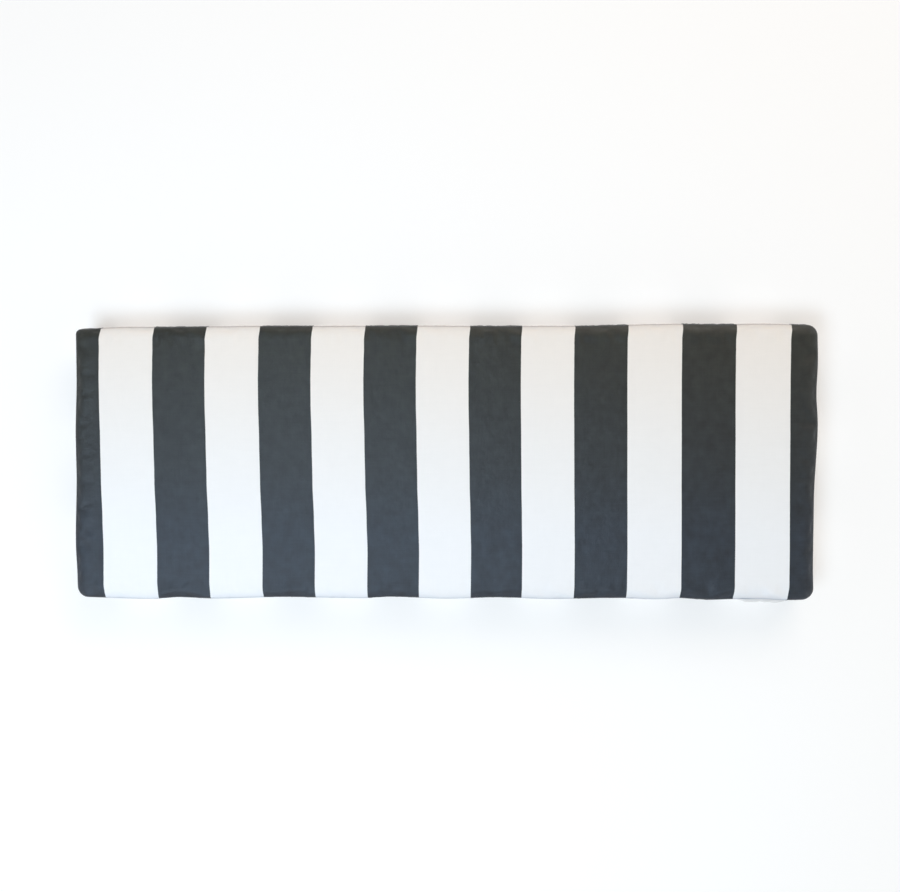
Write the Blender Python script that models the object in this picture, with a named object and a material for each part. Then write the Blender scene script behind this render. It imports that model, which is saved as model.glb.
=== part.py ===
"""Boxed bench cushion in broad-striped canvas, lying on its base with the face up.

Row frame: +X along the length, +Y from the front edge to the back edge, +Z up.
The origin is at the centre of the cushion's bounding box, on the surface it rests on.

The stuffed cushion is one solid: its crowned face panel, its filling and its flat base
panel. Four boxing strips are sewn round its sides, one to a side, and meet at the
corners. The boxing lies in the recess between the rims of the face and the base.
"""

import math

import bmesh
import bpy

# Cloth and layout, in metres.
STRIPE = 0.0889
STRIPES_ACROSS = 14
LENGTH = STRIPE * STRIPES_ACROSS
DEPTH = 0.457
CLOTH = 0.0016
GAP = 0.0003

# Heights of the section, from the surface that the cushion rests on.
SEAM_LOW = 0.0065
SEAM_TOP = 0.0705
RIM_RISE = 0.0014
ROLL_RISE = 0.0040
ROLL_WIDTH = 0.022
CROWN = 0.0040

# How far the boxing swells past the seams, and how far its edges tuck under the rims.
BULGE = 0.0040
TUCK = 0.0008
BOXING_ROWS = (0.0, 0.06, 0.25, 0.5, 0.75, 0.94, 1.0)

# The base panel's roll, as (inward from the rim, height).
BASE_ROLL = ((0.004, 0.0024), (0.009, 0.0008), (0.016, 0.0))

# Radii of the four corners of the face, seen from above. No two are filled alike.
CORNER_RADIUS = {
    ("front", "left"): 0.020,
    ("front", "right"): 0.024,
    ("back", "left"): 0.009,
    ("back", "right"): 0.021,
}

# How unevenly the seams run, as (place along the side, outward from the straight side) in
# millimetres. Long sides are placed from the middle, short ones from the front.
SEAM_WAVES_MM = {
    "front": (
        (-622, 1.5), (-497, 4.2), (-450, 0.8), (-390, 2.8), (-262, -0.6), (-142, 0.8),
        (-84, -1.9), (10, 0.8), (96, -2.0), (180, 0.2), (298, -2.0), (358, -0.2),
        (403, -2.4), (450, 0.2), (492, -1.2), (545, 0.8), (622, -0.8),
    ),
    "back": (
        (-622, -2.6), (-535, 0.5), (-460, 0.5), (-310, 1.5), (-160, 1.0), (-70, 1.3),
        (110, -0.1), (225, -0.2), (385, 2.5), (462, 1.5), (525, 2.3), (622, 0.4),
    ),
    "left": (
        (0, -0.6), (30, 0.2), (92, 2.5), (205, -0.2), (275, 0.6), (372, -2.2), (457, -1.9),
    ),
    "right": (
        (0, -1.4), (62, -2.6), (165, -2.2), (292, 2.8), (345, 0.1), (398, 1.9), (457, 0.6),
    ),
}
WAVE_REACH = 0.090

# Lines of the face's grid: closer in the corners, then even.
CORNER_LINES = (0.0, 0.004, 0.009, 0.015, 0.022)
CELLS_LONG = 54
CELLS_SHORT = 19

CHARCOAL = (0.063, 0.072, 0.084, 1.0)
WHITE = (0.80, 0.81, 0.82, 1.0)
CANVAS_ROUGHNESS = 0.85


def ease(t):
    """Rises smoothly from 0 at t = 0 to 1 at t = 1."""
    t = min(max(t, 0.0), 1.0)
    return t * t * (3.0 - 2.0 * t)


def wave(side, along):
    """How far out the seam of one side lies, at a place along it in metres."""
    rows = SEAM_WAVES_MM[side]
    place = min(max(along * 1000.0, rows[0][0]), rows[-1][0])
    for (start, out_start), (end, out_end) in zip(rows, rows[1:]):
        if place <= end:
            share = ease((place - start) / (end - start))
            return (out_start + (out_end - out_start) * share) / 1000.0
    return rows[-1][1] / 1000.0


def round_corner(across, up, radius):
    """Moves a point in a square corner onto the rounded corner nested at its depth.

    across and up are how far the point lies in from the corner's two sides.
    """
    level = min(across, up)
    radius_here = radius - level
    along = max(across, up) - level
    if along >= radius_here:
        return across, up
    turn = math.radians(45.0) * (1.0 - along / radius_here)
    near = level + radius_here * (1.0 - math.cos(turn))
    far = level + radius_here * (1.0 - math.sin(turn))
    return (far, near) if across > up else (near, far)


def plan_point(x, y):
    """Where a point of the flat rectangular panel lies once sewn, seen from above."""
    in_x = LENGTH / 2 - abs(x)
    in_y = DEPTH / 2 - abs(y)
    side_x = "left" if x < 0 else "right"
    side_y = "front" if y < 0 else "back"
    new_x, new_y = round_corner(in_x, in_y, CORNER_RADIUS[side_y, side_x])
    out_x = wave(side_x, y + DEPTH / 2) * (1.0 - ease(in_x / WAVE_REACH))
    out_y = wave(side_y, x) * (1.0 - ease(in_y / WAVE_REACH))
    return (
        math.copysign(LENGTH / 2 - new_x + out_x, x),
        math.copysign(DEPTH / 2 - new_y + out_y, y),
    )


def roll(inward):
    """Share of the face's roll reached at a distance in from the seam: a quarter round."""
    t = min(inward / ROLL_WIDTH, 1.0)
    return math.sqrt(1.0 - (1.0 - t) ** 2)


def face_height(x, y):
    """Height of the face panel: its rim, the roll beside the seam and the crown."""
    rolled = roll(LENGTH / 2 - abs(x)) * roll(DEPTH / 2 - abs(y))
    crown_x = 1.0 - (2.0 * x / LENGTH) ** 4
    crown_y = 1.0 - (2.0 * y / DEPTH) ** 2
    return SEAM_TOP + RIM_RISE + ROLL_RISE * rolled + CROWN * crown_x * crown_y


def grid_lines(size, cells):
    """Places of the grid lines across a panel, from -size/2 to size/2."""
    reach = CORNER_LINES[-1]
    step = (size - 2 * reach) / cells
    inner = [reach + step * i for i in range(1, cells)]
    low = list(CORNER_LINES) + inner
    high = [size - line for line in reversed(CORNER_LINES)]
    return [line - size / 2 for line in low + high]


def ring_of(columns, rows):
    """Grid indices round the edge of a panel, anticlockwise from the front left corner."""
    last_column, last_row = columns - 1, rows - 1
    front = [(i, 0) for i in range(last_column)]
    right = [(last_column, j) for j in range(last_row)]
    back = [(i, last_row) for i in range(last_column, 0, -1)]
    left = [(0, j) for j in range(last_row, 0, -1)]
    return front + right + back + left


def outward(points):
    """Unit normals pointing out of a closed anticlockwise outline, one for each point."""
    normals = []
    for k, _ in enumerate(points):
        x0, y0 = points[k - 1]
        x1, y1 = points[(k + 1) % len(points)]
        length = math.hypot(x1 - x0, y1 - y0)
        normals.append(((y1 - y0) / length, (x0 - x1) / length))
    return normals


def boxing_out(share):
    """How far out the boxing's face lies, at a share of the way down from its top."""
    swell = math.sqrt(max(0.0, 1.0 - (2.0 * share - 1.0) ** 2))
    return -TUCK + (BULGE + TUCK) * swell


def boxing_height(share):
    """Height of the boxing at a share of the way down from its top edge."""
    top, low = SEAM_TOP - GAP, SEAM_LOW + GAP
    return top + (low - top) * share


def striped_canvas(name, along, offset):
    """Canvas in charcoal and white stripes, laid off along one axis of the object.

    offset is how far the middle of a white stripe lies from the object's origin.
    """
    material = bpy.data.materials.new(f"{name}_canvas")
    material.use_nodes = True
    material.diffuse_color = WHITE
    nodes, links = material.node_tree.nodes, material.node_tree.links
    shader = nodes["Principled BSDF"]
    shader.inputs["Roughness"].default_value = CANVAS_ROUGHNESS
    shader.inputs["Metallic"].default_value = 0.0

    place = nodes.new("ShaderNodeTexCoord")
    split = nodes.new("ShaderNodeSeparateXYZ")
    shift = nodes.new("ShaderNodeMath")
    shift.operation = "SUBTRACT"
    shift.inputs[1].default_value = offset
    angle = nodes.new("ShaderNodeMath")
    angle.operation = "MULTIPLY"
    angle.inputs[1].default_value = math.pi / STRIPE
    wave_height = nodes.new("ShaderNodeMath")
    wave_height.operation = "COSINE"
    is_white = nodes.new("ShaderNodeMath")
    is_white.operation = "GREATER_THAN"
    is_white.inputs[1].default_value = 0.0
    color = nodes.new("ShaderNodeMix")
    color.data_type = "RGBA"
    color.inputs["A"].default_value = CHARCOAL
    color.inputs["B"].default_value = WHITE
    links.new(place.outputs["Object"], split.inputs["Vector"])
    links.new(split.outputs[along], shift.inputs[0])
    links.new(shift.outputs[0], angle.inputs[0])
    links.new(angle.outputs[0], wave_height.inputs[0])
    links.new(wave_height.outputs[0], is_white.inputs[0])
    links.new(is_white.outputs[0], color.inputs["Factor"])
    links.new(color.outputs["Result"], shader.inputs["Base Color"])
    return material


def add_object(name, mesh, material, parent):
    """Puts a finished bmesh in the scene as a smooth-shaded object."""
    data = bpy.data.meshes.new(name)
    bmesh.ops.recalc_face_normals(mesh, faces=mesh.faces)
    mesh.to_mesh(data)
    mesh.free()
    data.materials.append(material)
    data.shade_smooth()
    data.set_sharp_from_angle(angle=math.radians(40.0))
    obj = bpy.data.objects.new(name, data)
    bpy.context.scene.collection.objects.link(obj)
    obj.parent = parent
    return obj


def section_below_rim():
    """The cushion's section from the face's rim down to its base: (outward, height)."""
    recess = [
        (boxing_out(share) - CLOTH - GAP, boxing_height(share)) for share in BOXING_ROWS
    ]
    recess[0] = (recess[0][0], SEAM_TOP)
    recess[-1] = (recess[-1][0], SEAM_LOW)
    base = [(-inward, height) for inward, height in BASE_ROLL]
    return (
        [(-TUCK, SEAM_TOP)]
        + recess
        + [(-TUCK, SEAM_LOW), (0.0, SEAM_LOW - RIM_RISE)]
        + base
    )


def build_cushion(xs, ys, ring, outline, normals, material, parent):
    """The stuffed cushion: crowned face, recess for the boxing, and flat base."""
    mesh = bmesh.new()
    face = {}
    for i, x in enumerate(xs):
        for j, y in enumerate(ys):
            px, py = plan_point(x, y)
            face[i, j] = mesh.verts.new((px, py, face_height(x, y)))
    for i in range(len(xs) - 1):
        for j in range(len(ys) - 1):
            corners = ((i, j), (i + 1, j), (i + 1, j + 1), (i, j + 1))
            mesh.faces.new([face[corner] for corner in corners])

    above = [face[index] for index in ring]
    for out, height in section_below_rim():
        below = [
            mesh.verts.new((x + nx * out, y + ny * out, height))
            for (x, y), (nx, ny) in zip(outline, normals)
        ]
        for k in range(len(ring)):
            mesh.faces.new((above[k], above[k - 1], below[k - 1], below[k]))
        above = below
    mesh.faces.new(above)
    return add_object("cushion", mesh, material, parent)


def strip_columns(ring, start, end, outline, normals):
    """Plan points and normals of one side's strip, drawn back a little at both ends."""
    count = len(ring)
    first, last = ring.index(start), ring.index(end)
    order = [(first + k) % count for k in range((last - first) % count + 1)]
    columns = [(*outline[k], *normals[k]) for k in order]
    for here, beside in ((0, 1), (-1, -2)):
        x, y, nx, ny = columns[here]
        to_x, to_y = columns[beside][0] - x, columns[beside][1] - y
        share = GAP / 2 / math.hypot(to_x, to_y)
        columns[here] = (x + to_x * share, y + to_y * share, nx, ny)
    return columns


def build_boxing(name, columns, material, parent):
    """One boxing strip: a bowed length of cloth between the two seams."""
    mesh = bmesh.new()
    outer = [(boxing_out(share), boxing_height(share)) for share in BOXING_ROWS]
    inner = [(out - CLOTH, height) for out, height in reversed(outer)]
    loops = [
        [
            mesh.verts.new((x + nx * out, y + ny * out, height))
            for out, height in outer + inner
        ]
        for x, y, nx, ny in columns
    ]
    for here, beside in zip(loops, loops[1:]):
        for k in range(len(here)):
            mesh.faces.new((here[k - 1], here[k], beside[k], beside[k - 1]))
    for end in (loops[0], loops[-1]):
        for k in range(len(outer) - 1):
            mesh.faces.new((end[k], end[k + 1], end[-k - 2], end[-k - 1]))
    return add_object(name, mesh, material, parent)


def main():
    for obj in list(bpy.data.objects):
        bpy.data.objects.remove(obj)

    xs = grid_lines(LENGTH, CELLS_LONG)
    ys = grid_lines(DEPTH, CELLS_SHORT)
    ring = ring_of(len(xs), len(ys))
    outline = [plan_point(xs[i], ys[j]) for i, j in ring]
    normals = outward(outline)

    reach = [
        (x + nx * BULGE, y + ny * BULGE) for (x, y), (nx, ny) in zip(outline, normals)
    ]
    middle = [(min(side) + max(side)) / 2 for side in zip(*reach)]
    frame = bpy.data.objects.new("bench_cushion", None)
    bpy.context.scene.collection.objects.link(frame)
    frame.location = (-middle[0], -middle[1], 0.0)

    canvas = striped_canvas("cushion", "X", 0.0)
    build_cushion(xs, ys, ring, outline, normals, canvas, frame)

    last_column, last_row = len(xs) - 1, len(ys) - 1
    corners = {
        "front": ((0, 0), (last_column, 0)),
        "right": ((last_column, 0), (last_column, last_row)),
        "back": ((last_column, last_row), (0, last_row)),
        "left": ((0, last_row), (0, 0)),
    }
    for side, (start, end) in corners.items():
        name = f"boxing_{side}"
        if side in ("front", "back"):
            canvas = striped_canvas(name, "X", 0.0)
        else:
            canvas = striped_canvas(name, "Y", STRIPE - DEPTH / 2)
        columns = strip_columns(ring, start, end, outline, normals)
        build_boxing(name, columns, canvas, frame)


main()
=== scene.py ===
"""Looks of the boxed bench cushion: its striped canvas cover, seams, puckers and creases.

All sizes are in metres in the part's own frame: +X along the length, +Y from the front
edge to the back edge, +Z up from the surface that the cushion lies on.
"""

import math
from collections import namedtuple

import bpy
import numpy as np
from mathutils import Euler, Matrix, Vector, noise


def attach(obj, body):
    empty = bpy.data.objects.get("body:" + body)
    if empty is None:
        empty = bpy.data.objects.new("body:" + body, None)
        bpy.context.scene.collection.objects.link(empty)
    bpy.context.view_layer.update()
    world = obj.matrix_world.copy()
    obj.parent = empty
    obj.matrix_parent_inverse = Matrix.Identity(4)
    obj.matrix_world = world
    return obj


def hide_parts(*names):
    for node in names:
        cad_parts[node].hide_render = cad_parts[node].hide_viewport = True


# The cushion's sizes and layout.
STRIPE = 0.0889
LENGTH = 14 * STRIPE
DEPTH = 0.457
CLOTH = 0.0016
GAP = 0.0004
SEAM_LOW = 0.0065
SEAM_TOP = 0.0705
RIM_RISE = 0.0014
ROLL_RISE = 0.0060
ROLL_WIDTH = 0.019
CROWN = 0.0020
BULGE = 0.0034
TUCK = 0.0012

# Corners seen from above: side in X, side in Y, radius.
CORNERS = ((-1, -1, 0.0175), (1, -1, 0.0195), (-1, 1, 0.0085), (1, 1, 0.0175))

# Middle of the sewn plan, which the uneven seams move a little off the flat panel's middle.
PLAN_MIDDLE = (0.000133, -0.000808)

# How unevenly the seams run: (place along the side, outward from the straight side), mm.
# Long sides are placed from the middle, short ones from the front. The last value is how
# far in from a seam the face still follows it.
FRONT_WAVE_MM = (
    (-622, 1.5), (-497, 4.2), (-450, 0.8), (-390, 2.8), (-262, -0.6), (-142, 0.8),
    (-84, -1.9), (10, 0.8), (96, -2.0), (180, 0.2), (298, -2.0), (358, -0.2),
    (403, -2.4), (450, 0.2), (492, -1.2), (535, -1.8), (578, 0.0), (622, -0.8),
)
BACK_WAVE_MM = (
    (-622, -2.6), (-535, 0.5), (-460, 0.5), (-310, 1.5), (-160, 1.0), (-70, 1.3),
    (110, -0.1), (225, -0.2), (385, 2.5), (462, 1.5), (525, 2.3), (622, 0.4),
)
LEFT_WAVE_MM = (
    (0, -0.6), (30, 0.2), (92, 2.5), (205, -0.2), (275, 0.6), (372, -2.2), (457, -1.9),
)
RIGHT_WAVE_MM = (
    (0, -1.4), (62, -2.6), (165, -2.2), (292, 2.8), (345, 0.1), (398, 1.9), (457, 0.6),
)
WAVE_REACH = 0.090

# How wide the face's roll is beside the front seam: (place along it in mm, share).
FRONT_ROLL_SHARE = (
    (-622, 1.0), (-543, 0.9), (-460, 0.8), (-365, 0.9), (-270, 0.8), (-187, 1.35), (-90, 0.9),
    (-7, 0.55), (90, 0.9), (171, 1.25), (260, 0.9), (353, 0.8), (450, 1.0), (535, 1.5),
    (622, 1.0),
)

# How the stripes drift sideways from straight lines: with the place along the cushion,
# with the distance from the front (felt most at the left), and close to the two seams.
STRIPE_DRIFT_MM = (
    (-622, -3.0), (-578, -2.4), (-489, -0.2), (-400, 0.1), (-311, 1.9), (-133, 2.0),
    (44, 0.6), (133, -0.8), (311, -1.9), (400, -1.2), (489, -1.4), (622, -0.2),
)
STRIPE_LEAN_MM = (
    (0, 6.4), (80, 7.2), (131, 5.9), (198, 3.7), (265, 2.6), (333, 1.1), (366, 0.9),
    (400, 1.5), (420, 2.1), (457, 2.1),
)
STRIPE_LEAN_SHARE = (
    (-622, 0.75), (-489, 0.95), (-300, 1.0), (-133, 1.0), (44, 0.72), (133, 0.45),
    (311, 0.25), (622, 0.25),
)
BACK_SLIP_MM = 2.0
FRONT_PINCH = 0.0035
SEAM_PULL_REACH = 0.024

# Grid lines of the face, in from each side, and the spacing between them further in.
RIM_LINES = (0.0, 0.0007, 0.0016, 0.0028, 0.0044, 0.0064, 0.0088, 0.0116, 0.0148, 0.0184)
SPACING = 0.0040

# Rows of the boxing from its top edge (0) to its bottom edge (1).
BOXING_ROWS = (
    0.0, 0.008, 0.022, 0.045, 0.08, 0.13, 0.19, 0.26, 0.34, 0.42, 0.5, 0.58, 0.66, 0.74,
    0.81, 0.87, 0.92, 0.955, 0.978, 0.992, 1.0,
)

# The base panel's roll beside its seam: (inward from its rim, height).
BASE_ROLL = (
    (0.0015, 0.0041), (0.004, 0.0024), (0.0065, 0.0015), (0.009, 0.0008), (0.016, 0.0),
)

# The rim's lip, where the panel turns in to the seam: (outward, up from the seam).
LIP = ((0.0004, 0.0009), (0.0005, 0.0005), (0.0, 0.0001), (-TUCK, 0.0))

# Unevenness of the face: its height, the hills in it (size, seed, share), and how far in
# from the seam it is felt in full.
FACE_UNEVENNESS = 0.0005
FACE_HILLS = ((0.14, 3.0, 1.0), (0.06, 8.0, 0.5))
UNEVENNESS_EASE = 0.03

# Creases of the face: soft ridges (up) or troughs (down). Places are from the middle of
# the cushion.
Crease = namedtuple("Crease", "start_mm end_mm bow_mm width_mm depth_mm")
CREASES = (
    Crease((500, -229), (540, -211), 3, 6, -2.2),
    Crease((512, -231), (560, -216), 3, 7, 1.2),
    Crease((-606, -118), (-582, -138), 1, 6, 0.5),
    Crease((-604, -110), (-580, -130), 1, 6, -0.5),
    Crease((-610, -186), (-584, -214), 2, 7, 0.6),
    Crease((-606, -178), (-580, -204), 2, 7, -0.6),
)

# Where the front boxing swells out below the seam: from and to along it, over what length
# it starts and ends, how far out, and how far down (middle and reach, then where it is
# free of the seam, as shares of the boxing's height).
SWELL_FROM, SWELL_TO = 0.495, 0.584
SWELL_EASE = 0.02
SWELL_OUT = 0.0055
SWELL_DOWN, SWELL_REACH = 0.15, 0.13
SWELL_FREE = 0.05

# Canvas: yarn spacing, how far a stripe's edge steps (in yarns), stitch length and how far
# a stitch's pull reaches, and the heights of the relief: weave, thick places in the yarns
# (and how much of them the white lacks) and stitch dimples.
YARN_MM = 0.55
EDGE_STEP = 1.2
STITCH_MM = 4.0
STITCH_PULL_MM = 1.3
WEAVE_MM = 0.06
SLUB_MM = 0.50
WHITE_SMOOTHER = 0.6
DIMPLE_MM = 0.12

# Noises of the canvas: cell across and along the stripes in millimetres, seed, detail.
EDGE_NOISE = (400.0, YARN_MM, 1.7, 2.0)
WARP_NOISE = (1.3, 45.0, 4.1, 2.0)
WEFT_NOISE = (38.0, 1.6, 9.4, 2.0)
CLOUD_NOISE = (14.0, 14.0, 2.6, 3.0)
FLECK_NOISE = (0.9, 0.9, 6.2, 1.0)
BLOTCH_NOISE = (15.0, 19.0, 7.7, 4.0)
SLUB_NOISE = (9.0, 12.0, 5.3, 3.0)

# Painted shade in the seams, darkening the canvas: its colour, then each shade's share and
# reach in millimetres.
SEAM_SHADE = (0.50, 0.51, 0.56, 1.0)
SEAM_SHADE_NEAR = (0.75, 0.9)
SEAM_SHADE_WIDE = (0.45, 5.0)

# Colours of the canvas: in the middle, and where the painted light is full: painted cool
# window light towards the front, painted warm room light towards the back, with where each
# starts and is full. Then how much each colour varies, and its gloss.
CHARCOAL = (0.0158, 0.0198, 0.0222, 1.0)
CHARCOAL_PAINTED_COOL_LIGHT = (0.0142, 0.0212, 0.0325, 1.0)
CHARCOAL_PAINTED_WARM_LIGHT = (0.0170, 0.0188, 0.0140, 1.0)
WHITE = (0.852, 0.842, 0.836, 1.0)
WHITE_PAINTED_COOL_LIGHT = (0.860, 0.868, 0.888, 1.0)
WHITE_PAINTED_WARM_LIGHT = (0.852, 0.796, 0.742, 1.0)
PAINTED_COOL_LIGHT_MM, PAINTED_WARM_LIGHT_MM = (0.0, -120.0), (10.0, 215.0)
CHARCOAL_BLOTCH = 1.2
CHARCOAL_UNEVEN = 0.9
WHITE_UNEVEN = 0.05
CHARCOAL_ROUGH = 0.43
WHITE_ROUGH = 0.85
GLOSS = 0.54
GLOSS_TINT = (0.94, 0.96, 1.0, 1.0)
SHEEN, SHEEN_ROUGH = 0.08, 0.5

# Studio lights: name, place, aim, size, watts, colour. Then the daylight's way, spread,
# strength and colour, and the surroundings: the height (as a direction's) at which the
# walls give way to the ceiling, the floor's size, where it fades into the walls, its
# colour, and how much of its white is its own light.
LIGHTS = (
    ("window", (-0.8, -0.9, 2.4), (-0.2, -0.1, 0.0), (1.4, 0.9), 52.9, (0.71, 0.86, 1.0)),
    ("room_fill", (1.2, 2.6, 2.2), (0.0, 0.1, 0.0), (2.5, 1.5), 43.0, (1.0, 0.83, 0.69)),
    ("side_fill", (2.6, -1.2, 2.2), (0.0, 0.0, 0.0), (1.8, 1.5), 9.6, (1.0, 0.97, 0.80)),
)
DAYLIGHT_FROM = (0.3, 1.0, 0.8)
DAYLIGHT_SPREAD_DEG = 60.0
DAYLIGHT_STRENGTH = 0.19
DAYLIGHT_COLOR = (1.0, 0.98, 0.80)
WALL_COLOR = (1.0, 1.0, 1.0, 1.0)
CEILING_COLOR = (0.108, 0.087, 0.062, 1.0)
WALLS_RISE = (0.36, 0.60)
FLOOR_SIZE = 40.0
FLOOR_FADE = (0.8, 2.4)
FLOOR_COLOR = (0.56, 0.56, 0.56, 1.0)
FLOOR_GLOW = 0.44

# The cover's simulation: a coarser grid; how firmly the seam, the boxing and the face on
# its foam are held (the face from some way in, over some reach); the slack cut into the
# cloth beside the seams, the face's share of it, where in from the seam that is full, and
# from where and over what reach it fades; the share of the boxing's height over which its
# slack grows; the air pressure, and about the furthest that a point may move.
SIM_RIM_LINES = (0.0, 0.004, 0.009, 0.0145)
SIM_SPACING = 0.0065
SIM_BOXING_ROWS = (0.06, 0.15, 0.26, 0.38, 0.5, 0.62, 0.74, 0.85, 0.94, 1.0)
SIM_FRAMES = 20
SEAM_HOLD = 1.0
BOXING_HOLD = 0.5
FOAM_HOLD_FROM, FOAM_HOLD_REACH = 0.010, 0.045
CLOTH_SLACK = 0.016
FACE_SLACK = 0.3
FACE_SLACK_FULL = 0.004
FACE_FADE_FROM, FACE_FADE_REACH = 0.012, 0.03
BOXING_SLACK_EASE = 0.1
PRESSURE = 2.0
MOVE_CAP = 0.0025

# The photo's camera, placed over the face's rim.
LENS_MM = 35.0
SENSOR_MM = 36.0
CAMERA_PLACE = (0.0586, 0.0694, 1.4699 + SEAM_TOP + RIM_RISE)
CAMERA_TURN_DEG = (-1.569, 1.717, -0.015)


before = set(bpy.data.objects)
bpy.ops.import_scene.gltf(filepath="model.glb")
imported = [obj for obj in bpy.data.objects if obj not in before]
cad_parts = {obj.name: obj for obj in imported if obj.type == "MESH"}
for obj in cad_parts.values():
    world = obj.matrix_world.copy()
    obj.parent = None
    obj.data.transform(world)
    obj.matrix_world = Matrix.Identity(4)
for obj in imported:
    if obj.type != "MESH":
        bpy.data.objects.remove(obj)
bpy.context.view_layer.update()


def ease(t):
    """Rises smoothly from 0 at t = 0 to 1 at t = 1."""
    t = np.clip(t, 0.0, 1.0)
    return t * t * (3.0 - 2.0 * t)


def from_table(rows, place):
    """Eased value at a place, between the rows (place, value) of a short table."""
    places = np.array([row[0] for row in rows], float)
    values = np.array([row[1] for row in rows], float)
    place = np.clip(place, places[0], places[-1])
    row = np.clip(np.searchsorted(places, place, side="right") - 1, 0, len(rows) - 2)
    share = ease((place - places[row]) / (places[row + 1] - places[row]))
    return values[row] + (values[row + 1] - values[row]) * share


def grid_lines(size, rim_lines, spacing):
    """Places of the grid lines across a panel, from -size/2 to size/2."""
    reach = rim_lines[-1]
    cells = round((size - 2 * reach) / spacing)
    inner = np.linspace(reach, size - reach, cells + 1)[1:-1]
    high = size - np.array(rim_lines[::-1])
    return np.concatenate([rim_lines, inner, high]) - size / 2


def sewn_plan(x, y):
    """Where points of the flat rectangular panel lie once sewn, seen from above."""
    in_x = LENGTH / 2 - np.abs(x)
    in_y = DEPTH / 2 - np.abs(y)
    radius = np.zeros(np.broadcast(x, y).shape)
    for side_x, side_y, corner_radius in CORNERS:
        here = (np.sign(x) == side_x) & (np.sign(y) == side_y)
        radius = np.where(here, corner_radius, radius)

    level = np.minimum(in_x, in_y)
    along = np.maximum(in_x, in_y) - level
    radius = np.maximum(radius - level, 1e-9)
    turn = math.radians(45.0) * (1.0 - np.clip(along / radius, 0.0, 1.0))
    rounded = along < radius
    near = level + np.where(rounded, radius * (1.0 - np.cos(turn)), 0.0)
    far = level + np.where(rounded, radius * (1.0 - np.sin(turn)), along)
    new_x = np.where(in_x > in_y, far, near)
    new_y = np.where(in_x > in_y, near, far)

    x_mm, y_mm = x * 1000, (y + DEPTH / 2) * 1000
    out_x = np.where(x < 0, from_table(LEFT_WAVE_MM, y_mm), from_table(RIGHT_WAVE_MM, y_mm))
    out_y = np.where(y < 0, from_table(FRONT_WAVE_MM, x_mm), from_table(BACK_WAVE_MM, x_mm))
    out_x = out_x / 1000 * (1.0 - ease(in_x / WAVE_REACH))
    out_y = out_y / 1000 * (1.0 - ease(in_y / WAVE_REACH))
    return (
        np.copysign(LENGTH / 2 - new_x + out_x, x),
        np.copysign(DEPTH / 2 - new_y + out_y, y),
    )


def roll(inward):
    """Share of the face's roll reached at a distance in from the seam: a quarter round."""
    t = np.clip(inward / ROLL_WIDTH, 0.0, 1.0)
    return np.sqrt(1.0 - (1.0 - t) ** 2)


def face_height(x, y):
    """Height of the face panel: its rim, the roll beside the seam and the crown."""
    front_share = np.where(y < 0.0, from_table(FRONT_ROLL_SHARE, x * 1000), 1.0)
    rolled = roll(LENGTH / 2 - np.abs(x)) * roll((DEPTH / 2 - np.abs(y)) / front_share)
    crown = (1.0 - (2.0 * x / LENGTH) ** 4) * (1.0 - (2.0 * y / DEPTH) ** 2)
    return SEAM_TOP + RIM_RISE + ROLL_RISE * rolled + CROWN * crown


def stripe_place(x, y):
    """Distance across the stripes at a point of the face: 0 is the middle of the face."""
    x_mm, y_mm = x * 1000, (y + DEPTH / 2) * 1000
    drift = from_table(STRIPE_DRIFT_MM, x_mm)
    drift += from_table(STRIPE_LEAN_MM, y_mm) * from_table(STRIPE_LEAN_SHARE, x_mm)
    drift += BACK_SLIP_MM * (1.0 - ease((DEPTH / 2 - y) / SEAM_PULL_REACH))
    drift -= FRONT_PINCH * x_mm * (1.0 - ease((DEPTH / 2 + y) / SEAM_PULL_REACH))
    return x - drift / 1000


class Shell:
    """The sewn cover as grids: the face, and the ring of columns round its sides."""

    def __init__(self, rim_lines, spacing):
        self.xs = grid_lines(LENGTH, rim_lines, spacing)
        self.ys = grid_lines(DEPTH, rim_lines, spacing)
        flat_x, flat_y = np.meshgrid(self.xs, self.ys, indexing="ij")
        plan_x, plan_y = sewn_plan(flat_x, flat_y)
        self.face = np.stack([plan_x, plan_y, face_height(flat_x, flat_y)], axis=-1)
        self.ring = self.ring_indices()
        i, j = self.ring.T
        self.outline = self.face[i, j, :2]
        before, after = np.roll(self.outline, 1, axis=0), np.roll(self.outline, -1, axis=0)
        tangent = after - before
        self.normal = np.stack([tangent[:, 1], -tangent[:, 0]], axis=-1)
        self.normal /= np.linalg.norm(self.normal, axis=1, keepdims=True)
        self.around = self.flat_distance_round()

    def ring_indices(self):
        """Grid indices round the face's edge, anticlockwise from the front left corner."""
        last_i, last_j = len(self.xs) - 1, len(self.ys) - 1
        front = [(i, 0) for i in range(last_i)]
        right = [(last_i, j) for j in range(last_j)]
        back = [(i, last_j) for i in range(last_i, 0, -1)]
        left = [(0, j) for j in range(last_j, 0, -1)]
        return np.array(front + right + back + left)

    def flat_distance_round(self):
        """Distance round the flat panel to each column of the ring, from the same corner."""
        flat = np.stack([self.xs[self.ring[:, 0]], self.ys[self.ring[:, 1]]], axis=-1)
        steps = np.linalg.norm(np.diff(flat, axis=0), axis=1)
        return np.concatenate([[0.0], np.cumsum(steps)])

    def side_row(self, outward, height):
        """One row of points round the sides, some way out from the face's outline."""
        plan = self.outline + self.normal * np.reshape(outward, (-1, 1))
        return np.column_stack([plan, np.broadcast_to(height, len(plan))])


def boxing_section(share):
    """The boxing's section: (outward, height) at a share of the way down."""
    swell = math.sqrt(max(0.0, 1.0 - (2.0 * share - 1.0) ** 2))
    top, low = SEAM_TOP - GAP, SEAM_LOW + GAP
    return -TUCK + (BULGE + TUCK) * swell, top + (low - top) * share


def grid_faces(indices, closed=False):
    """Quads between neighbouring rows and columns of a grid of point numbers."""
    if closed:
        indices = np.concatenate([indices, indices[:, :1]], axis=1)
    a, b = indices[:-1, :-1], indices[:-1, 1:]
    c, d = indices[1:, 1:], indices[1:, :-1]
    return np.stack([a, b, c, d], axis=-1).reshape(-1, 4)


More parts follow.
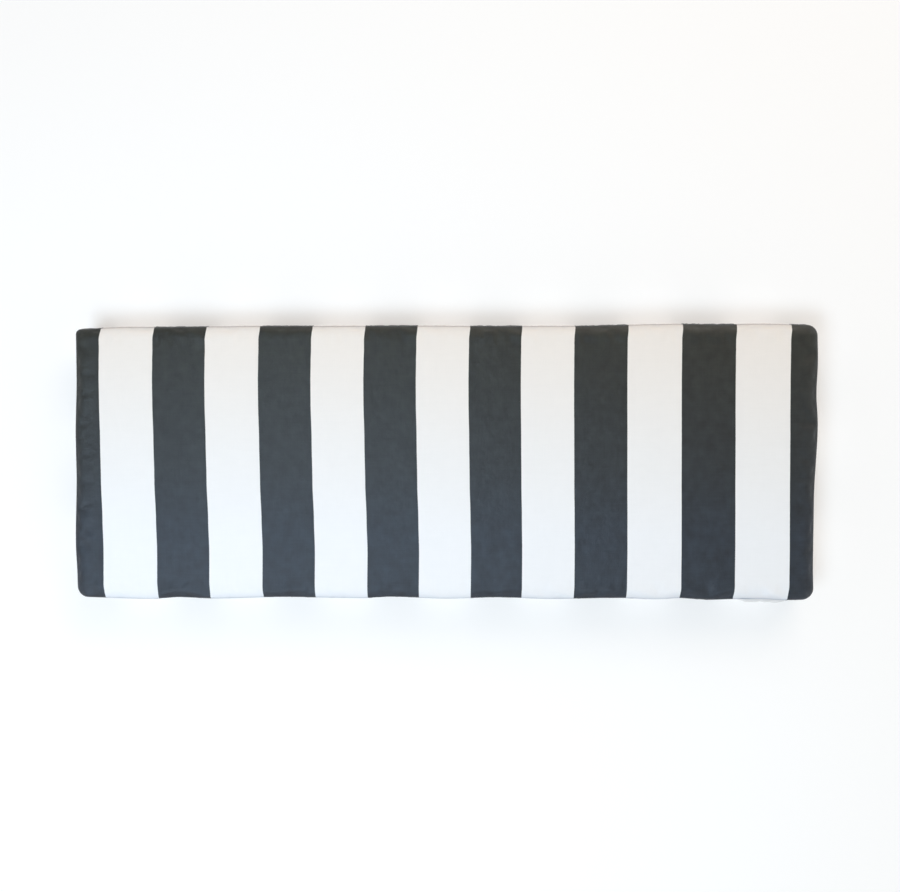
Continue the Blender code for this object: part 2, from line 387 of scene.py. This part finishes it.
def add_to_scene(name, data):
    """A new object in the scene."""
    obj = bpy.data.objects.new(name, data)
    bpy.context.scene.collection.objects.link(obj)
    return obj


def new_object(name, points, faces, uv=None, seam=None):
    """A smooth mesh object, with its cloth and seam coordinates as UV maps, in metres."""
    mesh = bpy.data.meshes.new(name)
    mesh.from_pydata(points.tolist(), [], [list(map(int, face)) for face in faces])
    corner_points = np.empty(len(mesh.loops), int)
    mesh.loops.foreach_get("vertex_index", corner_points)
    for layer_name, values in (("cloth", uv), ("seam", seam)):
        if values is not None:
            layer = mesh.uv_layers.new(name=layer_name)
            layer.data.foreach_set("uv", values[corner_points].ravel())
    mesh.shade_smooth()
    mesh.validate()
    return add_to_scene(name, mesh)


def distance_in(shell):
    """Distance in from the nearest seam, at each point of the face's grid."""
    in_x = LENGTH / 2 - np.abs(shell.xs)[:, None]
    in_y = DEPTH / 2 - np.abs(shell.ys)[None, :]
    return np.minimum(in_x, in_y)


def add_cloth(obj):
    """Adds the cloth simulation, which reads the object's groups held and tight."""
    cloth = obj.modifiers.new("cover", "CLOTH")
    settings = cloth.settings
    settings.quality = 6
    settings.mass = 0.2
    settings.tension_stiffness = settings.compression_stiffness = 30.0
    settings.shear_stiffness = 12.0
    settings.bending_stiffness = 2.0
    settings.tension_damping = settings.compression_damping = 8.0
    settings.air_damping = 2.0
    settings.vertex_group_mass = "held"
    settings.pin_stiffness = 1.0
    settings.vertex_group_shrink = "tight"
    settings.shrink_min = -CLOTH_SLACK
    settings.shrink_max = 0.0
    settings.use_pressure = True
    settings.uniform_pressure_force = PRESSURE
    settings.effector_weights.gravity = 0.0
    cloth.point_cache.frame_start, cloth.point_cache.frame_end = 1, SIM_FRAMES


def simulate_cover():
    """How far the sewn cover moves when its slack beside the seams is pressed outward.

    The middle of the face lies on the foam and is held. The cloth beside the seams is
    cut with a little slack and the seams are not, so it gathers there into puckers.
    Returns the shell simulated, and the moves of its face and of its boxing rows.
    """
    shell = Shell(SIM_RIM_LINES, SIM_SPACING)
    face_count = shell.face.shape[0] * shell.face.shape[1]
    face_ids = np.arange(face_count).reshape(shell.face.shape[:2])
    rows = [shell.side_row(*boxing_section(share)) for share in SIM_BOXING_ROWS]
    row_ids = face_count + np.arange(len(rows) * len(shell.ring)).reshape(len(rows), -1)
    rim_ids = face_ids[shell.ring[:, 0], shell.ring[:, 1]]
    faces = np.concatenate([
        grid_faces(face_ids.T),
        grid_faces(np.vstack([rim_ids, row_ids])[::-1], closed=True),
    ])
    points = np.concatenate([shell.face.reshape(-1, 3)] + rows)
    obj = new_object("cover_simulation", points, faces)

    inward = distance_in(shell).ravel()
    faded = ease((inward - FACE_FADE_FROM) / FACE_FADE_REACH)
    slack = FACE_SLACK * ease(inward / FACE_SLACK_FULL) * (1.0 - faded)
    held = ease((inward - FOAM_HOLD_FROM) / FOAM_HOLD_REACH)
    held[rim_ids] = SEAM_HOLD
    down = np.repeat(SIM_BOXING_ROWS, len(shell.ring))
    boxing_slack = ease(np.minimum(down, 1.0 - down) / BOXING_SLACK_EASE)
    slack = np.concatenate([slack, boxing_slack])
    held = np.concatenate([held, np.where(down >= 1.0, 1.0, BOXING_HOLD)])
    for name, weights in (("held", held), ("tight", 1.0 - slack)):
        group = obj.vertex_groups.new(name=name)
        for index, weight in enumerate(weights):
            if weight > 0.0:
                group.add([index], float(weight), "REPLACE")

    add_cloth(obj)
    scene = bpy.context.scene
    for frame_number in range(1, SIM_FRAMES + 1):
        scene.frame_set(frame_number)
    settled = obj.evaluated_get(bpy.context.evaluated_depsgraph_get()).to_mesh()
    after = np.empty(len(points) * 3)
    settled.vertices.foreach_get("co", after)
    scene.frame_set(1)
    bpy.data.objects.remove(obj)

    moved = after.reshape(-1, 3) - points
    size = np.linalg.norm(moved, axis=1, keepdims=True)
    moved *= MOVE_CAP * np.tanh(size / MOVE_CAP) / np.maximum(size, 1e-9)
    face_moves = moved[:face_count].reshape(shell.face.shape)
    row_moves = np.concatenate([moved[rim_ids], moved[face_count:]])
    return shell, face_moves, row_moves.reshape(len(rows) + 1, -1, 3)


def resample(values, old, new, axis):
    """Values on grid lines at old places, read at new places along one axis, smoothly."""
    values = np.moveaxis(values, axis, 0)
    slopes = np.gradient(values, old, axis=0)
    k = np.clip(np.searchsorted(old, new, side="right") - 1, 0, len(old) - 2)
    step = np.reshape(old[k + 1] - old[k], (-1,) + (1,) * (values.ndim - 1))
    t = np.reshape(new - old[k], step.shape) / step
    read = (
        (1 + 2 * t) * (1 - t) ** 2 * values[k]
        + t * (1 - t) ** 2 * step * slopes[k]
        + t * t * (3 - 2 * t) * values[k + 1]
        + t * t * (t - 1) * step * slopes[k + 1]
    )
    return np.moveaxis(read, 0, axis)


def along_crease(x, y, crease):
    """Share of a crease's depth felt at points of the face: a soft trough or ridge."""
    start, end = np.array(crease.start_mm) / 1000, np.array(crease.end_mm) / 1000
    way = end - start
    length = np.linalg.norm(way)
    along = ((x - start[0]) * way[0] + (y - start[1]) * way[1]) / length
    across = ((x - start[0]) * way[1] - (y - start[1]) * way[0]) / length
    across = across - crease.bow_mm / 1000 * (1.0 - (2.0 * along / length - 1.0) ** 2)
    width = crease.width_mm / 1000
    ends = ease((along + width) / (2 * width)) * ease((length + width - along) / (2 * width))
    return ends * np.exp(-((across / width) ** 2))


def rolling_ground(x, y, size, seed):
    """Smooth uneven ground between about -1 and 1, with hills of the given size."""
    flat = np.stack([np.ravel(x) / size, np.ravel(y) / size], axis=-1)
    heights = [noise.noise(Vector((u, v, seed))) for u, v in flat]
    return np.reshape(heights, np.shape(x))


class Cover:
    """The finished cover: the fine shell with the simulated moves and the given ones."""

    def __init__(self):
        self.shell = shell = Shell(RIM_LINES, SPACING)
        self.face = shell.face.copy()
        self.rows = np.array([shell.side_row(*boxing_section(s)) for s in BOXING_ROWS])
        self.rim_moves = np.zeros((len(shell.ring), 3))
        self.add_simulated_moves()

        self.swell_boxing()
        x, y = self.face[..., 0], self.face[..., 1]
        unevenness = sum(
            share * rolling_ground(x, y, size, seed) for size, seed, share in FACE_HILLS
        )
        felt = ease(distance_in(shell) / UNEVENNESS_EASE)
        self.face[..., 2] += FACE_UNEVENNESS * unevenness * felt
        for crease in CREASES:
            self.face[..., 2] += crease.depth_mm / 1000 * along_crease(x, y, crease)
        self.rim = self.face[shell.ring[:, 0], shell.ring[:, 1]]

    def add_simulated_moves(self):
        """Reads the simulated moves onto the fine grids."""
        coarse, face_moves, row_moves = simulate_cover()
        shell = self.shell
        moves = resample(face_moves, coarse.xs, shell.xs, axis=0)
        self.face += resample(moves, coarse.ys, shell.ys, axis=1)

        perimeter = 2 * (LENGTH + DEPTH)
        around = np.concatenate([coarse.around, [perimeter]])
        row_moves = np.concatenate([row_moves, row_moves[:, :1]], axis=1)
        row_moves = resample(row_moves, around, shell.around, axis=1)
        shares = np.array((0.0,) + SIM_BOXING_ROWS)
        self.rows += resample(row_moves, shares, np.array(BOXING_ROWS), axis=0)
        self.rim_moves = row_moves[0]

    def swell_boxing(self):
        """Swells the front boxing out near its right-hand end, just below the seam."""
        x, y = self.shell.outline.T
        along = ease((x - SWELL_FROM) / SWELL_EASE) * ease((SWELL_TO - x) / SWELL_EASE)
        rows = np.array(BOXING_ROWS)
        down = np.exp(-(((rows - SWELL_DOWN) / SWELL_REACH) ** 2)) * ease(rows / SWELL_FREE)
        out = SWELL_OUT * down[:, None] * along * (y < 0.0)
        self.rows[..., :2] += out[..., None] * self.shell.normal

    def rim_row(self, outward, height, hold=1.0):
        """A row of points beside the rim, which follows what the rim has moved by."""
        return self.shell.side_row(outward, height) + hold * self.rim_moves


def cloth_coordinates(cover):
    """Cloth coordinates of the face and of its rim: across and along the stripes."""
    x, y = cover.face[..., 0], cover.face[..., 1]
    place = np.stack([stripe_place(x, y), y], axis=-1)
    return place, place[cover.shell.ring[:, 0], cover.shell.ring[:, 1]]


def seam_coordinates(shell):
    """Seam coordinates of the face: distance round the edge, and in from the seam."""
    x, y = shell.xs[:, None] + LENGTH / 2, shell.ys[None, :] + DEPTH / 2
    x, y = np.broadcast_arrays(x, y)
    inward = distance_in(shell)
    beside_long_side = np.minimum(y, DEPTH - y) <= np.minimum(x, LENGTH - x)
    return np.stack([np.where(beside_long_side, x, y), inward], axis=-1)


def build_cover(cover, material):
    """The filled body with its face and base panels, as one closed piece."""
    shell = cover.shell
    count = cover.face.shape[0] * cover.face.shape[1]
    face_ids = np.arange(count).reshape(cover.face.shape[:2])
    place, rim_place = cloth_coordinates(cover)

    sections = [cover.rim_row(out, SEAM_TOP + up) for out, up in LIP]
    for row in cover.rows:
        behind = row.copy()
        behind[:, :2] -= shell.normal * (CLOTH + GAP)
        sections.append(behind)
    sections[len(LIP)][:, 2] = sections[len(LIP) - 1][:, 2]
    sections[-1][:, 2] = SEAM_LOW
    sections += [shell.side_row(out, SEAM_LOW - up) for out, up in reversed(LIP)]
    sections.append(shell.side_row(0.0, SEAM_LOW - RIM_RISE))
    sections += [shell.side_row(-inward, height) for inward, height in BASE_ROLL]

    row_ids = count + np.arange(len(sections) * len(shell.ring)).reshape(len(sections), -1)
    rim_ids = face_ids[shell.ring[:, 0], shell.ring[:, 1]]
    quads = grid_faces(face_ids.T).tolist()
    quads += grid_faces(np.vstack([rim_ids, row_ids])[::-1], closed=True).tolist()
    faces = quads + [row_ids[-1][::-1].tolist()]

    points = np.concatenate([cover.face.reshape(-1, 3)] + sections)
    points[:, :2] -= PLAN_MIDDLE
    uv = [place.reshape(-1, 2)]
    seam = [seam_coordinates(shell).reshape(-1, 2)]
    for number, row in enumerate(sections):
        on_base = number > len(LIP) + len(cover.rows) + len(LIP)
        inward = on_base * np.linalg.norm(row - sections[-len(BASE_ROLL) - 1], axis=1)
        straight = ease(inward / BASE_ROLL[-1][0])[:, None]
        beside_seam = rim_place + (row - cover.rim)[:, :2]
        uv.append(beside_seam + (row[:, :2] - beside_seam) * straight)
        seam.append(np.column_stack([shell.around, inward]))
    body = new_object("cover_panels", points, faces, np.concatenate(uv), np.concatenate(seam))
    body.data.materials.append(material)
    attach(body, "root")
    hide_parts("cushion")
    return body


def build_boxing(cover, side, material):
    """One boxing strip: a closed band of canvas with turned-in edges."""
    shell = cover.shell
    last_i, last_j = len(shell.xs) - 1, len(shell.ys) - 1
    order = ("front", "right", "back", "left")
    corners = ((0, 0), (last_i, 0), (last_i, last_j), (0, last_j))
    number = order.index(side)
    ring = [tuple(index) for index in shell.ring.tolist()]
    first, last = ring.index(corners[number]), ring.index(corners[(number + 1) % 4])
    columns = (first + np.arange((last - first) % len(ring) + 1)) % len(ring)

    outer = cover.rows[:, columns].copy()
    inner = outer.copy()
    inner[..., :2] -= shell.normal[columns] * CLOTH
    for rows in (outer, inner):
        for here, beside in ((0, 1), (-1, -2)):
            way = rows[:, beside] - rows[:, here]
            rows[:, here] += way * (GAP / 2 / np.linalg.norm(way, axis=1, keepdims=True))

    loops = np.concatenate([outer, inner[::-1]])
    ids = np.arange(loops.shape[0] * loops.shape[1]).reshape(loops.shape[:2])
    faces = grid_faces(np.vstack([ids, ids[:1]])[::-1]).tolist()
    rows = len(outer)
    for k in range(rows - 1):
        faces.append([ids[k, 0], ids[k + 1, 0], ids[-k - 2, 0], ids[-k - 1, 0]])
        faces.append([ids[-k - 1, -1], ids[-k - 2, -1], ids[k + 1, -1], ids[k, -1]])

    _, rim_place = cloth_coordinates(cover)
    if side in ("front", "back"):
        across = rim_place[columns, 0]
    else:
        across = shell.ys[shell.ring[columns, 1]] + DEPTH / 2 - STRIPE
    height = loops[..., 2]
    uv = np.stack([np.broadcast_to(across, height.shape), height], axis=-1)
    from_seam = np.minimum(SEAM_TOP - height, height - SEAM_LOW)
    seam = np.stack([np.broadcast_to(shell.around[columns], height.shape), from_seam], axis=-1)
    loops[..., :2] -= PLAN_MIDDLE
    points = loops.reshape(-1, 3)
    uv, seam = uv.reshape(-1, 2), seam.reshape(-1, 2)
    strip = new_object(f"boxing_strip_{side}", points, faces, uv, seam)
    strip.data.materials.append(material)
    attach(strip, "root")
    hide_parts(f"boxing_{side}")
    return strip


class Nodes:
    """Adds shader nodes to one material, with sockets and numbers given as inputs."""

    def __init__(self, name):
        self.material = bpy.data.materials.new(name)
        self.material.use_nodes = True
        self.tree = self.material.node_tree
        self.shader = self.tree.nodes["Principled BSDF"]

    def feed(self, socket, value):
        """Links a socket to another, or sets its number."""
        if isinstance(value, bpy.types.NodeSocket):
            self.tree.links.new(value, socket)
        else:
            socket.default_value = value

    def math(self, operation, *values, clamp=False):
        node = self.tree.nodes.new("ShaderNodeMath")
        node.operation = operation
        node.use_clamp = clamp
        for socket, value in zip(node.inputs, values):
            self.feed(socket, value)
        return node.outputs[0]

    def place(self, layer):
        """The two cloth or seam coordinates, in millimetres."""
        source = self.tree.nodes.new("ShaderNodeUVMap")
        source.uv_map = layer
        split = self.tree.nodes.new("ShaderNodeSeparateXYZ")
        self.feed(split.inputs[0], source.outputs[0])
        return [self.math("MULTIPLY", split.outputs[k], 1000.0) for k in (0, 1)]

    def noise(self, across, along, seed, detail=2.0):
        """Noise between 0 and 1 over two coordinates counted in the noise's own cells."""
        join = self.tree.nodes.new("ShaderNodeCombineXYZ")
        for socket, value in zip(join.inputs, (across, along, seed)):
            self.feed(socket, value)
        node = self.tree.nodes.new("ShaderNodeTexNoise")
        node.inputs["Scale"].default_value = 1.0
        node.inputs["Detail"].default_value = detail
        self.feed(node.inputs["Vector"], join.outputs[0])
        return node.outputs["Fac"]

    def mix(self, factor, low, high, blend_type="MIX"):
        """Two colours mixed: the first at factor 0, the second mixed in at factor 1."""
        node = self.tree.nodes.new("ShaderNodeMix")
        node.data_type = "RGBA"
        node.blend_type = blend_type
        for socket, value in (("Factor", factor), ("A", low), ("B", high)):
            self.feed(node.inputs[socket], value)
        return node.outputs["Result"]

    def tinted(self, color, share):
        """A colour times another, or times a grey share."""
        return self.mix(1.0, color, share, "MULTIPLY")


def striped_canvas(name):
    """Heavy plain-weave canvas in charcoal and white stripes, worked out from its cloth."""
    n = Nodes(name)
    across, along = n.place("cloth")
    around, from_seam = n.place("seam")
    from_seam = n.math("ABSOLUTE", from_seam)

    def cloth_noise(row):
        """Noise over the cloth, from its row of cells, seed and detail."""
        across_cell, along_cell, seed, detail = row
        counted_across = n.math("DIVIDE", across, across_cell)
        counted_along = n.math("DIVIDE", along, along_cell)
        return n.noise(counted_across, counted_along, seed, detail)

    # Each stripe's edge steps in and out by part of a yarn.
    step = n.math("SUBTRACT", cloth_noise(EDGE_NOISE), 0.5)
    step = n.math("MULTIPLY", step, EDGE_STEP * YARN_MM)
    stripe = n.math("MULTIPLY", n.math("ADD", across, step), math.pi / STRIPE / 1000)
    edge = math.pi * YARN_MM / 2 / STRIPE / 1000
    white = n.math("DIVIDE", n.math("COSINE", stripe), 2 * edge)
    white = n.math("ADD", white, 0.5, clamp=True)

    # Yarns differ: streaks along the warp and across the weft, and broad faint mottling.
    yarns = n.math("ADD", cloth_noise(WARP_NOISE), cloth_noise(WEFT_NOISE))
    mottling = n.math("ADD", cloth_noise(CLOUD_NOISE), cloth_noise(FLECK_NOISE))
    uneven = n.math("MULTIPLY", n.math("ADD", yarns, mottling), 0.5)
    uneven = n.math("SUBTRACT", uneven, 1.0)

    # Plain weave: each warp yarn passes over one weft yarn and under the next.
    turn = math.pi / YARN_MM
    weave = n.math(
        "MULTIPLY", n.math("SINE", n.math("MULTIPLY", across, turn)),
        n.math("SINE", n.math("MULTIPLY", along, turn)),
    )

    # The stitches pull small dimples into the cloth beside a seam.
    stitch = n.math("COSINE", n.math("MULTIPLY", around, 2 * math.pi / STITCH_MM))
    beside = n.math("EXPONENT", n.math("MULTIPLY", from_seam, -1 / STITCH_PULL_MM))
    dimple = n.math("MULTIPLY", stitch, beside)

    # Painted shade, where little light reaches into a seam: a dark line, and a soft shade
    # beside it, multiplied into the colour.
    shade = 0.0
    for share, reach in (SEAM_SHADE_NEAR, SEAM_SHADE_WIDE):
        fade = n.math("EXPONENT", n.math("MULTIPLY", from_seam, -1 / reach))
        shade = n.math("ADD", shade, n.math("MULTIPLY", fade, share))
    shade = n.mix(shade, (1.0, 1.0, 1.0, 1.0), SEAM_SHADE)

    # The charcoal is worn in soft blotches, and its yarns differ more than the white's.
    worn = n.math("SUBTRACT", cloth_noise(BLOTCH_NOISE), 0.5)
    worn = n.math("MULTIPLY", worn, CHARCOAL_BLOTCH)
    worn = n.math("ADD", worn, n.math("MULTIPLY", uneven, CHARCOAL_UNEVEN))

    # Painted light: the colour is made creamier towards the back edge, as under warm room
    # light, and cooler towards the front, as under the cool window.
    charcoal_color, white_color = CHARCOAL, WHITE
    for reach, charcoal_painted_lit, white_painted_lit in (
        (PAINTED_COOL_LIGHT_MM, CHARCOAL_PAINTED_COOL_LIGHT, WHITE_PAINTED_COOL_LIGHT), (PAINTED_WARM_LIGHT_MM, CHARCOAL_PAINTED_WARM_LIGHT, WHITE_PAINTED_WARM_LIGHT),
    ):
        share = n.math("SUBTRACT", along, reach[0])
        share = n.math("DIVIDE", share, reach[1] - reach[0], clamp=True)
        charcoal_color = n.mix(share, charcoal_color, charcoal_painted_lit)
        white_color = n.mix(share, white_color, white_painted_lit)
    dark = n.tinted(charcoal_color, n.math("ADD", 1.0, worn))
    faint = n.math("MULTIPLY", uneven, WHITE_UNEVEN)
    light = n.tinted(white_color, n.math("ADD", 1.0, faint))
    n.feed(n.shader.inputs["Base Color"], n.tinted(n.mix(white, dark, light), shade))
    rough = n.math("MULTIPLY", white, WHITE_ROUGH - CHARCOAL_ROUGH)
    n.feed(n.shader.inputs["Roughness"], n.math("ADD", rough, CHARCOAL_ROUGH))
    n.shader.inputs["Specular IOR Level"].default_value = GLOSS
    n.shader.inputs["Specular Tint"].default_value = GLOSS_TINT
    n.shader.inputs["Sheen Weight"].default_value = SHEEN
    n.shader.inputs["Sheen Roughness"].default_value = SHEEN_ROUGH

    # Relief in millimetres: the weave, thick places in the yarns, and the stitches.
    slub = n.math("SUBTRACT", cloth_noise(SLUB_NOISE), 0.5)
    slub = n.math("MULTIPLY", slub, SLUB_MM)
    smoother = n.math("SUBTRACT", 1.0, n.math("MULTIPLY", white, WHITE_SMOOTHER))
    slub = n.math("MULTIPLY", slub, smoother)
    relief = n.math("ADD", n.math("MULTIPLY", weave, WEAVE_MM), slub)
    relief = n.math("ADD", relief, n.math("MULTIPLY", uneven, WEAVE_MM))
    relief = n.math("ADD", relief, n.math("MULTIPLY", dimple, DIMPLE_MM))
    bump = n.tree.nodes.new("ShaderNodeBump")
    bump.inputs["Distance"].default_value = 0.001
    n.feed(bump.inputs["Height"], relief)
    n.feed(n.shader.inputs["Normal"], bump.outputs[0])
    return n.material


def build_floor():
    """A plain pale floor, which fades into the pale walls further off."""
    mesh = bpy.data.meshes.new("floor")
    half = FLOOR_SIZE / 2
    corners = [(-half, -half, 0.0), (half, -half, 0.0), (half, half, 0.0), (-half, half, 0.0)]
    mesh.from_pydata(corners, [], [(0, 1, 2, 3)])
    floor = add_to_scene("floor", mesh)
    n = Nodes("pale_floor")
    geometry = n.tree.nodes.new("ShaderNodeNewGeometry")
    reach = n.tree.nodes.new("ShaderNodeVectorMath")
    reach.operation = "LENGTH"
    n.feed(reach.inputs[0], geometry.outputs["Position"])
    far = n.tree.nodes.new("ShaderNodeMapRange")
    far.interpolation_type = "SMOOTHSTEP"
    n.feed(far.inputs["Value"], reach.outputs["Value"])
    far.inputs["From Min"].default_value, far.inputs["From Max"].default_value = FLOOR_FADE
    own_color = n.mix(far.outputs["Result"], FLOOR_COLOR, (0.0, 0.0, 0.0, 1.0))
    n.feed(n.shader.inputs["Base Color"], own_color)
    n.feed(n.shader.inputs["Emission Color"], WALL_COLOR)
    glow = n.math("MULTIPLY", far.outputs["Result"], 1.0 - FLOOR_GLOW)
    n.feed(n.shader.inputs["Emission Strength"], n.math("ADD", glow, FLOOR_GLOW))
    n.shader.inputs["Roughness"].default_value = 0.9
    n.shader.inputs["Specular IOR Level"].default_value = 0.1
    mesh.materials.append(n.material)


def add_light(name, place, aim, size, power, color):
    """A soft rectangular light."""
    data = bpy.data.lights.new(name, "AREA")
    data.shape = "RECTANGLE"
    data.size, data.size_y = size
    data.energy = power
    data.color = color
    light = add_to_scene(name, data)
    light.location = place
    way = Vector(aim) - Vector(place)
    light.rotation_euler = way.to_track_quat("-Z", "Y").to_euler()


def add_daylight():
    """Even daylight over the whole floor, from behind, with soft shadows."""
    data = bpy.data.lights.new("daylight", "SUN")
    data.angle = math.radians(DAYLIGHT_SPREAD_DEG)
    data.energy = DAYLIGHT_STRENGTH
    data.color = DAYLIGHT_COLOR
    light = add_to_scene("daylight", data)
    light.rotation_euler = Vector(DAYLIGHT_FROM).to_track_quat("Z", "Y").to_euler()


def studio_world():
    """Surroundings of a pale studio: bright walls at the level of the floor, dim above."""
    world = bpy.data.worlds.new("studio")
    world.use_nodes = True
    tree = world.node_tree
    place = tree.nodes.new("ShaderNodeTexCoord")
    split = tree.nodes.new("ShaderNodeSeparateXYZ")
    rise = tree.nodes.new("ShaderNodeMapRange")
    rise.interpolation_type = "SMOOTHSTEP"
    rise.inputs["From Min"].default_value, rise.inputs["From Max"].default_value = WALLS_RISE
    mix = tree.nodes.new("ShaderNodeMix")
    mix.data_type = "RGBA"
    mix.inputs["A"].default_value = WALL_COLOR
    mix.inputs["B"].default_value = CEILING_COLOR
    tree.links.new(place.outputs["Generated"], split.inputs[0])
    tree.links.new(split.outputs["Z"], rise.inputs["Value"])
    tree.links.new(rise.outputs["Result"], mix.inputs["Factor"])
    tree.links.new(mix.outputs["Result"], tree.nodes["Background"].inputs["Color"])
    return world


def light_scene():
    """Plain soft studio light: a cool window at the front left, and a warm fill behind."""
    for light in LIGHTS:
        add_light(*light)
    add_daylight()
    bpy.context.scene.world = studio_world()
    bpy.context.scene.view_settings.view_transform = "Standard"


def add_camera():
    """The photo's camera: above the cushion, looking straight down at its face."""
    data = bpy.data.cameras.new("camera")
    data.lens = LENS_MM
    data.sensor_width = SENSOR_MM
    camera = add_to_scene("camera", data)
    camera.location = CAMERA_PLACE
    camera.rotation_euler = Euler([math.radians(turn) for turn in CAMERA_TURN_DEG])
    bpy.context.scene.camera = camera


add_camera()
light_scene()
build_floor()
finished = Cover()
panels = build_cover(finished, striped_canvas("striped_canvas_panels"))
boxing_canvas = striped_canvas("striped_canvas_boxing")
for side_name in ("front", "right", "back", "left"):
    build_boxing(finished, side_name, boxing_canvas)
